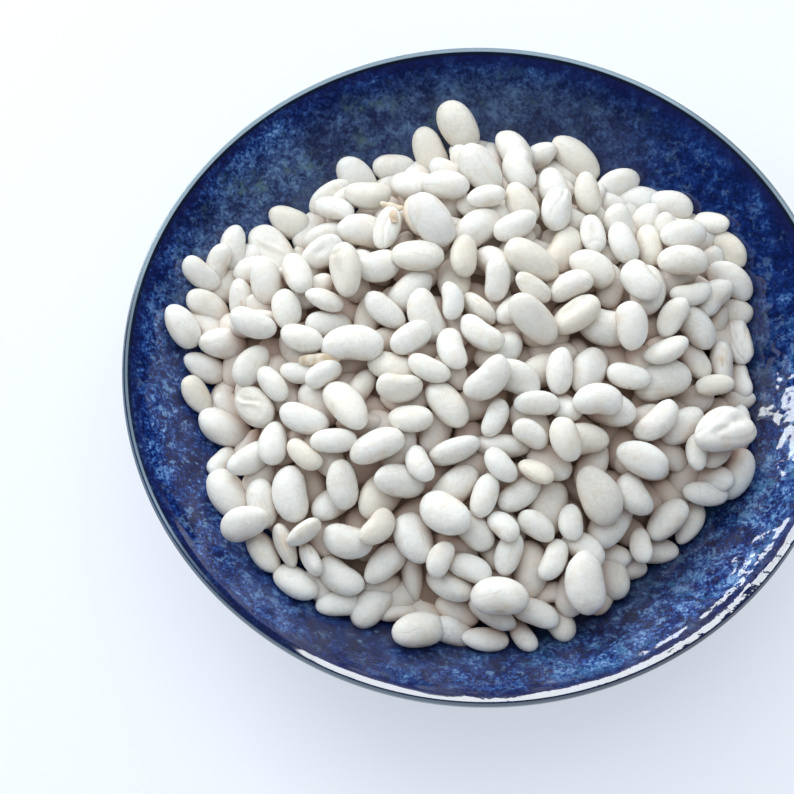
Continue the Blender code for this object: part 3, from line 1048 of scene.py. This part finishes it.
def core_faces():
    n = CORE_SIDES
    last, peak = (CORE_RINGS - 1) * n, CORE_RINGS * n
    under, bottom = peak + 1, peak + 1 + n
    faces = []
    for i in range(n):
        j = (i + 1) % n
        for low in range(0, last, n):
            faces.append((low + i, low + j, low + n + j, low + n + i))
        faces.append((last + i, last + j, peak))
        faces.append((under + i, under + j, j, i))
        faces.append((under + j, under + i, bottom))
    return faces


def make_core():
    mesh = bpy.data.meshes.new("heap_core")
    mesh.from_pydata(core_points().tolist(), [], core_faces())
    mesh.shade_smooth()
    material, shader, place = new_material("beans in the shade", 0.6)
    # The mound's dark brown is painted shade for the beans deep in the heap.
    feed(shader, Base_Color=place.noise(160, 3).blend(srgb(158, 134, 116), srgb(124, 102, 86)))
    mesh.materials.append(material)
    return put_in_scene("heap_core", mesh)


core = make_core()
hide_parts("beans")
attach(core, "root")
print("core:", len(core.data.polygons), "faces")

# %% [markdown]
# Bean shapes
# A dried white bean is a smooth flattened oval. Some are bent like a kidney, most taper a little, and
# the bent side has a shallow dent round the scar where the bean sat in its pod. It could be sculpted,
# but a few numbers for a rule give as many kinds as we like. A cube cut into a grid and blown up to a
# ball has even faces and no poles, so it is the start of every bean.

# %% Forms of the beans
# Bend, taper, fullness of the ends, dent of the scar side
OVAL_BEANS = (
    (0.03, 0.05, 2.10, 0.04),
    (0.05, -0.09, 2.06, 0.06),
    (0.02, 0.02, 2.22, 0.03),
    (0.06, 0.12, 2.05, 0.05),
    (0.04, -0.03, 2.16, 0.08),
    (0.08, 0.06, 2.12, 0.05),
    (0.03, 0.15, 2.04, 0.03),
    (0.07, -0.05, 2.20, 0.07),
    (0.10, 0.02, 2.10, 0.10),
)
KIDNEY_BEANS = (
    (0.16, 0.04, 2.18, 0.12),
    (0.21, -0.06, 2.14, 0.10),
    (0.18, 0.08, 2.10, 0.16),
    (0.26, 0.02, 2.16, 0.14),
    (0.15, -0.10, 2.22, 0.12),
)
# Cuts along each edge of the cube that becomes a bean
PLAIN_CUTS = 6
WRINKLED_CUTS = 19
print("forms:", len(OVAL_BEANS + KIDNEY_BEANS))


# %% Bean shapes
def give(mesh, title, kind, values):
    """Gives each point of a mesh a value of its own."""
    slot = mesh.attributes.new(title, kind, "POINT")
    key = "vector" if kind == "FLOAT_VECTOR" else "value"
    slot.data.foreach_set(key, np.array(values, np.int32 if kind == "INT" else np.float32).ravel())


def ball(cuts):
    """A ball of even faces: its mesh data as points and quads."""
    shape = bmesh.new()
    bmesh.ops.create_cube(shape, size=2)
    bmesh.ops.subdivide_edges(shape, edges=shape.edges, cuts=cuts, use_grid_fill=True)
    points = np.array([v.co for v in shape.verts])
    faces = [[v.index for v in face.verts] for face in shape.faces]
    shape.free()
    points = np.tan(points * math.pi / 4)
    return points / np.linalg.norm(points, axis=1)[:, None], faces


def bean_form(points, bend, taper, blunt, dent, rng):
    """Turns a ball into a bean that reaches from -1 to 1 along each axis."""
    full = (np.abs(points) ** blunt).sum(axis=1) ** (-1 / blunt)
    x, y, z = (points * full[:, None]).T
    width = 1 + taper * x
    hollow = dent * np.exp(-((x / 0.42) ** 2)) * np.clip(-y, 0, 1) ** 2
    y = y * width + hollow - bend * (x * x - 0.3)
    z = z * width * (1 - 0.05 * np.clip(-y, 0, 1))
    form = np.stack((x, y, z), axis=1)
    for lump, turn in zip(rng.normal(0, 1, (4, 3)), rng.uniform(0, 6.28, 4)):
        form *= 1 + 0.012 * np.sin(form @ lump * 2.4 + turn)[:, None]
    return form


def make_bean_shape(name, cuts, form, rng, wrinkle=None):
    """One bean. Its points also carry their place on the ball, where the skin's marks are drawn."""
    points, faces = ball(cuts)
    bean = bean_form(points, *form, rng)
    if wrinkle:
        bean = wrinkle(bean, points)
    mesh = bpy.data.meshes.new(name)
    mesh.from_pydata(bean.tolist(), [], faces)
    mesh.shade_smooth()
    give(mesh, "skin_place", "FLOAT_VECTOR", points)
    face_outwards(mesh)
    return bpy.data.objects.new(name, mesh)


def make_shapes(title, forms, cuts):
    """A collection with one bean of each form. A form may end with the way its skin is pressed in."""
    rng = np.random.default_rng(len(forms))
    group = bpy.data.collections.new(title)
    scene.collection.children.link(group)
    for i, form in enumerate(forms):
        group.objects.link(make_bean_shape(f"{title} {i:02d}", cuts, form[:4], rng, *form[4:]))
    return group


ovals = make_shapes("oval beans", OVAL_BEANS, PLAIN_CUTS)
kidneys = make_shapes("kidney beans", KIDNEY_BEANS, PLAIN_CUTS)

# %% [markdown]
# Wrinkled beans
# A bean that dries too fast keeps a hollow in its side, folds its skin or splits it. These few get
# their own shapes, with more faces, and a rule that pushes the skin in along its folds.

# %% Ways to press a skin in
def groove(distance, width):
    """How deep a fold is at a distance from its line, from 1 in the middle to 0."""
    return np.exp(-((distance / width) ** 2))


def upper(z, sharpness=2):
    """1 on the upper side, 0 on the lower one, and a slope between them."""
    return np.clip(z * sharpness, 0, 1)


def pressed_down(bean, depth):
    return bean - depth[:, None] * np.array((0, 0, 1))


def drawn_in(bean, depth):
    return bean * (1 - depth)[:, None]


print("a fold is", round(float(groove(0.1, 0.2)), 2), "deep at half its width")


# %% Hollow beans
def ring_hollow(bean, at):
    """A wide hollow in the upper side, with a fold that snakes across it."""
    x, y, z = at.T
    snake = y + 0.05 - 0.3 * np.sin(3.4 * x + 0.3)
    short = groove(x + 0.05, 0.5)
    depth = 0.20 * groove(np.hypot(x + 0.05, y * 0.9 - 0.05), 0.5)
    depth -= 0.16 * groove(snake, 0.14) * short
    depth += 0.12 * groove(snake - 0.24, 0.12) * short
    depth -= 0.06 * groove(np.hypot(x, y) - 0.78, 0.12)
    return pressed_down(bean, depth * upper(z, 3))


def side_hollow(bean, at):
    """A flat hollow with a sharp fold at one end."""
    x, y, z = at.T
    depth = 0.26 * groove(np.hypot((x - 0.15) / 1.3, y + 0.1), 0.36)
    depth += 0.12 * groove(x + 0.5 + 0.3 * y * y, 0.07) * groove(y, 0.5)
    return pressed_down(bean, depth * upper(z))


def shrivelled(bean, at):
    """A loose skin that has sunk into two dents, with a fold between them and a raised rim."""
    x, y, z = at.T
    turn = np.arctan2(y, x)
    reach = np.hypot(x, y)
    depth = 0.22 * groove(np.hypot((x - 0.32) / 1.2, y + 0.05), 0.26)
    depth += 0.20 * groove(np.hypot((x + 0.42) / 1.4, y + 0.22), 0.20)
    depth += 0.09 * groove(y - 0.42 - 0.22 * np.sin(2.3 * x + 0.6), 0.08)
    depth += 0.07 * groove(x + 0.08 + 0.5 * y * y, 0.09) * groove(y + 0.1, 0.4)
    depth += 0.05 * groove(np.hypot(x - 0.1, y) - 0.82, 0.07)
    return drawn_in(bean, depth * upper(z, 2.5) + 0.06 * np.sin(3 * turn + 1) * reach)


top = np.array([(0.0, 0.0, 1.0)])
print("share of the height in the ring hollow:", ring_hollow(top, top)[0, 2].round(2))


# %% Folded and split beans
def long_folds(bean, at):
    """Folds that run along the bean, as on a dried fruit."""
    x, y, z = at.T
    line = 9 * (y + 0.16 * np.sin(2.6 * x + 0.7) + 0.1 * x)
    depth = 0.055 * (np.cos(line) ** 4) * np.clip(1 - x * x, 0, 1) ** 0.5
    depth += 0.09 * groove(y - 0.2 + 0.25 * x * x, 0.07) * upper(z)
    return drawn_in(bean, depth)


def split_skin(bean, at):
    """A skin that has burst along the bean, with the two halves showing in the gap."""
    x, y, z = at.T
    wave = y + 0.08 * np.sin(5 * x) - 0.08
    short = np.clip(1.1 - x * x * 1.3, 0, 1)
    depth = 0.12 * groove(wave, 0.2) * short + 0.14 * groove(wave, 0.05)
    depth -= 0.08 * groove(np.abs(wave) - 0.3, 0.06) * short
    return drawn_in(bean, depth * upper(z))


def pinched_end(bean, at):
    """Short folds that draw the skin together at one end."""
    x, y, z = at.T
    turn = np.arctan2(y, z)
    near_end = np.clip(x * 1.5, 0, 1) ** 2
    depth = 0.065 * near_end * np.cos(turn * 5 + 3 * x) ** 2 + 0.06 * groove(x - 0.45, 0.09)
    depth += 0.05 * groove(y + 0.3 * np.sin(3 * x), 0.1) * upper(z)
    return drawn_in(bean, depth)


print("share of the height in the split:", split_skin(top, top)[0, 2].round(2))

# %% Make the wrinkled beans
# Bend, taper, fullness of the ends and dent of the scar side, and how the skin is pressed in
WRINKLED_BEANS = (
    (0.03, 0.0, 2.25, 0.0, ring_hollow),
    (0.08, 0.05, 2.15, 0.05, long_folds),
    (0.04, -0.04, 2.2, 0.0, side_hollow),
    (0.03, 0.06, 2.1, 0.0, split_skin),
    (0.06, 0.02, 2.15, 0.05, pinched_end),
    (0.05, 0.04, 2.2, 0.0, shrivelled),
)
wrinkled = make_shapes("wrinkled beans", WRINKLED_BEANS, WRINKLED_CUTS)

# %% [markdown]
# Bean skin
# The skin is thin, pale and a little waxy. Light enters it and comes out warmer nearby, which a small
# amount of subsurface light gives. Each bean has a tint of its own, faint grey veins and a tan scar.
# Shade is painted into the skin too: darker and warmer deep among the beans and on their undersides,
# and a little darker along a fine crease.

# %% Skin
SKIN_STOPS = [
    (0.0, srgb(240, 239, 233)),
    (0.5, srgb(239, 237, 229)),
    (0.85, srgb(237, 233, 222)),
    (1.0, srgb(233, 226, 211)),
]
SKIN_DIMPLES = 0.06 * MM


def skin_marks(place, at):
    """Coats of the skin: clouds, a blush, veins, a seam with its scar, a crease with painted shade,
    specks and a fine mottle.
    """
    x, y, z = at.parts()
    cloud = place.noise(150, 3, 0.6).ramp(0.42, 0.7)
    blush = place.moved((0.3, 0.3, 0.1)).noise(210, 3, 0.6).ramp(0.5, 0.68)
    vein = 1 - ((place.noise(420, 2, 0.5, 1.2) - 0.5) * 14) ** 2
    vein = vein.ramp(0.2, 1.0) * place.moved((0.4, 0, 0)).noise(110, 2).ramp(0.45, 0.62)
    seam = y.ramp(-0.55, -0.95) * place.noise(260, 2).ramp(0.35, 0.65)
    scar = (x * x * 16 + z * z * 50).ramp(1.0, 0.4) * y.ramp(-0.6, -0.8)
    speck = place.cells(230).ramp(0.12, 0.05) * place.moved((0, 0.6, 0)).noise(60, 1).ramp(0.62, 0.68)
    mottle = place.noise(900, 3, 0.65).ramp(0.40, 0.66)
    crease = skin_crease(place, y)
    coats = (
        (cloud * 0.35, srgb(231, 225, 213)),
        (blush * 0.28, srgb(228, 212, 184)),
        (vein * 0.2, srgb(200, 190, 180)),
        (seam * 0.4, srgb(214, 190, 158)),
        (scar * 0.5, srgb(204, 178, 142)),
        # The crease is painted a little darker: painted shade in the fold.
        (crease * 0.16, srgb(206, 190, 168)),
        (speck * 0.7, srgb(168, 138, 104)),
        (mottle * 0.16, srgb(206, 194, 178)),
    )
    return coats, cloud, crease


def skin_crease(place, y):
    """Now and then a fine crease runs along one side of a bean."""
    line = (y + 0.3 + (place.noise(160, 1) - 0.5) * 0.9) * 16
    return (1 - line * line).ramp(0.0, 1.0) * place.moved((0.2, 0, 0.5)).noise(75, 1).ramp(0.57, 0.63)


def painted_depth_shade(place, deep):
    """Painted shade: deep between its neighbours and on its underside a bean is painted darker and
    warmer, less so at the bright back.
    """
    at_back = place.parts()[1].ramp(0.005, 0.045)
    return deep * (1 - 0.5 * at_back), srgb(208, 184, 168)


def make_skin():
    glow = {"Subsurface_Weight": 0.3, "Subsurface_Scale": 0.0035, "Subsurface_Radius": (1.0, 0.75, 0.6)}
    material, shader, place = new_material("bean skin", 0.43, **glow)
    tint = place.attribute("tint", 2)
    coats, cloud, crease = skin_marks(place, place.attribute("skin_place", 1))
    colour = tint.node("ShaderNodeValToRGB", {"stops": SKIN_STOPS}, {0: tint})
    colour = coated(colour, [*coats, painted_depth_shade(place, place.attribute("deep", 2))])
    feed(shader, Base_Color=colour, Roughness=0.4 + 0.12 * cloud)
    dimples = place.noise(750, 3, 0.65) * 2.2 + place.noise(190, 2) * 6 - crease * 0.7
    feed(shader, Normal=dimples.bump(SKIN_DIMPLES))
    return material


skin = make_skin()
print("skin nodes:", len(skin.node_tree.nodes))

# %% [markdown]
# Beans on points
# Each bean laid by the rule is a point that carries its turn, size, shape and tint. It could be
# copied and placed by a loop, but a Geometry Nodes tree puts a shape on every point in one go and
# makes real faces of them. Each point of the result is then told how deep it lies in the heap, and
# the skin is painted darker and warmer there: a painted shade, as falls between real beans.

# %% A tree that puts beans on points
TREE_INPUTS = {
    "Geometry": "NodeSocketGeometry",
    "Shapes": "NodeSocketCollection",
    "Skin": "NodeSocketMaterial",
    "Fullness": "NodeSocketVector",
}


def bean_tree():
    """Puts a bean shape on each point, turned and sized as the point says."""
    tree = bpy.data.node_groups.new("beans on points", "GeometryNodeTree")
    for title, kind in TREE_INPUTS.items():
        tree.interface.new_socket(title, in_out="INPUT", socket_type=kind)
    tree.interface.new_socket("Geometry", in_out="OUTPUT", socket_type="NodeSocketGeometry")
    given = tree.nodes.new("NodeGroupInput").outputs
    points, shapes, finish, fullness = (Wire(tree, given[title]) for title in TREE_INPUTS)
    turn, size, kind = (
        points.node("GeometryNodeInputNamedAttribute", {"data_type": form}, {"Name": title})
        for title, form in (("turn", "FLOAT_VECTOR"), ("size", "FLOAT_VECTOR"), ("kind", "INT"))
    )
    turn = points.node("FunctionNodeEulerToRotation", None, {0: turn})
    inputs = {0: shapes, "Separate Children": True, "Reset Children": True}
    shapes = points.node("GeometryNodeCollectionInfo", None, inputs)
    inputs = {"Points": points, "Instance": shapes, "Pick Instance": True, "Instance Index": kind}
    inputs |= {"Rotation": turn, "Scale": size.scaled(fullness)}
    beans = points.node("GeometryNodeInstanceOnPoints", None, inputs)
    beans = points.node("GeometryNodeRealizeInstances", None, {0: beans})
    beans = points.node("GeometryNodeSetMaterial", None, {0: beans, "Material": finish})
    tree.links.new(beans.socket, tree.nodes.new("NodeGroupOutput").inputs[0])
    return tree


BEANS_ON_POINTS = bean_tree()
print("tree inputs:", list(TREE_INPUTS))

# %% How deep a point lies
# Painted shade of the skin: full at this depth among the beans around, and on a bean's underside where it
# starts, over what range it grows, and how dark it gets
DEEPEST = 6.5 * MM
UNDER_FROM = 0.6 * MM
UNDER_RANGE = 3.6 * MM
UNDERSIDE_PAINTED_SHADE = 0.45
AROUND_BLUR_CELLS = 7
height_around = blurred(pile.height, AROUND_BLUR_CELLS)


def mark_depth(mesh):
    """Tells each point, from 0 to 1, how deep it lies in the heap and under its bean: how much painted
    shade the skin lays there.
    """
    points = np.empty(len(mesh.vertices) * 3)
    mesh.vertices.foreach_get("co", points)
    x, y, z = points.reshape(-1, 3).T
    middle = np.empty(len(z))
    mesh.attributes["middle"].data.foreach_get("value", middle)
    level = z + HEAP_DROP - wall_lift(np.hypot(x, y))
    among = np.clip((height_around[cell(y), cell(x)] - level) / DEEPEST, 0, 1)
    under = np.clip((middle + UNDER_FROM - z) / UNDER_RANGE, 0, 1)
    give(mesh, "deep", "FLOAT", 1 - (1 - among) * (1 - UNDERSIDE_PAINTED_SHADE * under))


print("height around the middle:", round(float(height_around[cell(0), cell(0)]), 4))

# %% Beans on the heap
# How full a shape is along its length, width and thickness
BEAN_FULLNESS = (1.01, 0.93, 0.95)
# Most beans have a pale tint: the higher this power, the fewer are darker
PALE_TINTS = 2.2


def bean_turns(beans, rng, flips):
    """The turn of each bean, some of them end for end or upside down, which fits as well."""
    turns = []
    for bean in beans:
        over = Matrix.Rotation(math.pi * rng.integers(2) * flips, 3, "X")
        about = Matrix.Rotation(math.pi * rng.integers(2), 3, "Z")
        turns.append((Matrix(bean["matrix"].tolist()) @ over @ about).to_euler())
    return turns


def make_beans(name, beans, kinds, shapes, rng, flips=True):
    """One mesh of the given beans, each made from the shape of its kind."""
    mesh = bpy.data.meshes.new(name)
    centres = np.array([bean["centre"] for bean in beans])
    centres[:, 2] += wall_lift(np.hypot(centres[:, 0], centres[:, 1])) - HEAP_DROP
    mesh.from_pydata(centres.tolist(), [], [])
    give(mesh, "turn", "FLOAT_VECTOR", bean_turns(beans, rng, flips))
    give(mesh, "size", "FLOAT_VECTOR", [bean["size"] for bean in beans])
    give(mesh, "kind", "INT", kinds)
    give(mesh, "middle", "FLOAT", centres[:, 2])
    give(mesh, "tint", "FLOAT", rng.uniform(0, 1, len(beans)) ** PALE_TINTS)
    thing = put_in_scene(name, mesh)
    grow = thing.modifiers.new("beans", "NODES")
    grow.node_group = BEANS_ON_POINTS
    values = {"Shapes": shapes, "Skin": skin, "Fullness": BEAN_FULLNESS}
    for item in BEANS_ON_POINTS.interface.items_tree:
        if item.name in values:
            grow[item.identifier] = values[item.name]
    made_real(thing)
    mark_depth(thing.data)
    return thing


print("ready to make real beans of", len(pile.beans), "laid ones")

# %% [markdown]
# Kinds of bean
# Most beans are ovals, about one in five is bent like a kidney, and a few that we know of are
# wrinkled. Each kind is one mesh. Beans that nobody can see from above are left out of the meshes.

# %% Sort the beans by kind
# Wrinkled beans: x and y in mm, and which wrinkled shape
WRINKLED_AT = (
    (-62, -13, 0), (65, -23.5, 5), (67, 5.5, 2), (73.5, 12.5, 1),
    (32, 43, 2), (21.5, 46, 4), (-26, 38, 3), (27, 10, 2),
    (-37, 24, 2), (-52, 40, 0), (-46, 31, 2),
)
# Kidney beans that show from above: x and y in mm
KIDNEYS_AT = ((-8, -2), (1, -10), (-49, -28), (-40, -69), (-44, 41))
KIDNEY_SHARE = 0.2
LEAST_SEEN_CELLS = 3
WELL_SEEN_CELLS = 210

# How many grid cells of each bean show from above
seen = np.bincount(pile.owner[pile.owner >= 0], minlength=len(pile.beans))


def nearest_bean(x, y, taken):
    """Among the beans that show well and aren't taken, the one nearest to a place in mm."""
    free = [i for i in range(len(seen)) if seen[i] >= WELL_SEEN_CELLS and i not in taken]
    return min(free, key=lambda i: math.dist(pile.beans[i]["centre"][:2], (x * MM, y * MM)))


rng = np.random.default_rng(5)
wrinkled_kind = {}
for x, y, kind in WRINKLED_AT:
    wrinkled_kind[nearest_bean(x, y, wrinkled_kind)] = kind
kidney_beans = set()
for x, y in KIDNEYS_AT:
    kidney_beans.add(nearest_bean(x, y, kidney_beans.union(wrinkled_kind)))
kidney_beans |= {i for i in range(len(seen)) if rng.random() < KIDNEY_SHARE}
shown = [i for i in range(len(seen)) if seen[i] >= LEAST_SEEN_CELLS]
groups = {
    "dried_beans_oval": [i for i in shown if i not in wrinkled_kind and i not in kidney_beans],
    "dried_beans_kidney": [i for i in shown if i not in wrinkled_kind and i in kidney_beans],
    "dried_beans_wrinkled": [i for i in shown if i in wrinkled_kind],
}
print("beans shown:", {name: len(group) for name, group in groups.items()})

# %% Put the beans down
for name, shapes in zip(groups, (ovals, kidneys, wrinkled)):
    chosen = groups[name]
    kinds = rng.permutation(len(chosen)) % len(shapes.objects)
    if shapes is wrinkled:
        kinds = [wrinkled_kind[i] for i in chosen]
    beans = make_beans(name, [pile.beans[i] for i in chosen], kinds, shapes, rng, shapes is not wrinkled)
    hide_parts("beans")
    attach(beans, "root")
    print(name, len(beans.data.polygons), "faces")

# %% Clear the shapes away
for shapes in (ovals, kidneys, wrinkled):
    for thing in list(shapes.objects):
        bpy.data.objects.remove(thing)
    bpy.data.collections.remove(shapes)

# %% [markdown]
# Husks
# Here and there a bean has shed a curl of its skin. A husk is a strip of a bean's surface with an
# uneven edge, given a thickness, and laid on the beans that are already there.

# %% Loose husks
# Middle x, y in mm, turn in degrees, length and width in mm, tilt in degrees
HUSKS_AT = (
    (-45.0, -2.6, 4, 11.5, 3.4, 24),
    (-25, 47.5, 165, 7.0, 2.2, 12),
    (-24.5, 41.5, 95, 4.2, 2.4, 20),
)
HUSK_THICKNESS = 0.28 * MM
HUSK_ABOVE_BEANS = 0.7 * MM
HUSK_OVER_GAP = 1.6 * MM
HUSK_CURL = 1.25
HUSK_ROWS = 11
HUSK_COLUMNS = 19


def pile_top(x, y):
    """What carries a husk: the bean under it, or over a gap the beans beside it."""
    row, column = cell(y), cell(x)
    return float(max(pile.height[row, column], height_around[row, column] + HUSK_OVER_GAP))


def husk_strip(length, width, rng):
    """Points in mm of one husk round its middle: curled across, bent along, with an uneven edge."""
    u, v = np.meshgrid(np.linspace(-1, 1, HUSK_COLUMNS), np.linspace(-1, 1, HUSK_ROWS))
    edge = 1 + 0.12 * np.sin(5 * u + rng.uniform(0, 6)) + 0.08 * np.sin(13 * u + rng.uniform(0, 6))
    curl = v * np.sqrt(np.clip(1.04 - u * u, 0, 1)) * edge * HUSK_CURL
    x = u * length / 2
    y = np.sin(curl) * width / 2
    z = (np.cos(curl) - 0.6) * width / 2 - 0.06 * length * u * u + 0.12 * np.sin(x * 2.1 + 1)
    return np.stack((x, y, z), axis=2).reshape(-1, 3)


def husk_faces(first):
    """Faces between the rows and columns of the strip whose points start at first."""
    starts = (first + row * HUSK_COLUMNS for row in range(HUSK_ROWS - 1))
    corners = [start + column for start in starts for column in range(HUSK_COLUMNS - 1)]
    return [(c, c + 1, c + HUSK_COLUMNS + 1, c + HUSK_COLUMNS) for c in corners]


def make_husks(rng):
    points, faces = [], []
    for x, y, turn, length, width, tilt in HUSKS_AT:
        strip = husk_strip(length, width, rng) * MM
        turned = Matrix.Rotation(math.radians(turn), 3, "Z") @ Matrix.Rotation(math.radians(tilt), 3, "X")
        height = pile_top(x * MM, y * MM) - HEAP_DROP + HUSK_ABOVE_BEANS
        faces += husk_faces(len(points))
        points += (strip @ np.array(turned).T + np.array((x * MM, y * MM, height))).tolist()
    mesh = bpy.data.meshes.new("bean_husks")
    mesh.from_pydata(points, [], faces)
    mesh.shade_smooth()
    husks = put_in_scene("bean_husks", mesh)
    wall = husks.modifiers.new("thickness", "SOLIDIFY")
    wall.thickness = HUSK_THICKNESS
    wall.offset = 0
    return made_real(husks)


def make_husk_skin():
    glow = {"Subsurface_Weight": 0.15, "Subsurface_Scale": 0.002, "Subsurface_Radius": (1.0, 0.7, 0.45)}
    material, shader, place = new_material("loose skin", 0.5, **glow)
    patch = place.noise(300, 3, 0.6).ramp(0.4, 0.65)
    feed(shader, Base_Color=patch.blend(srgb(235, 222, 202), srgb(212, 188, 158)))
    return material


husks = make_husks(np.random.default_rng(3))
husks.data.materials.append(make_husk_skin())
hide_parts("beans")
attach(husks, "root")
print("husks:", len(HUSKS_AT), "with", len(husks.data.polygons), "faces")
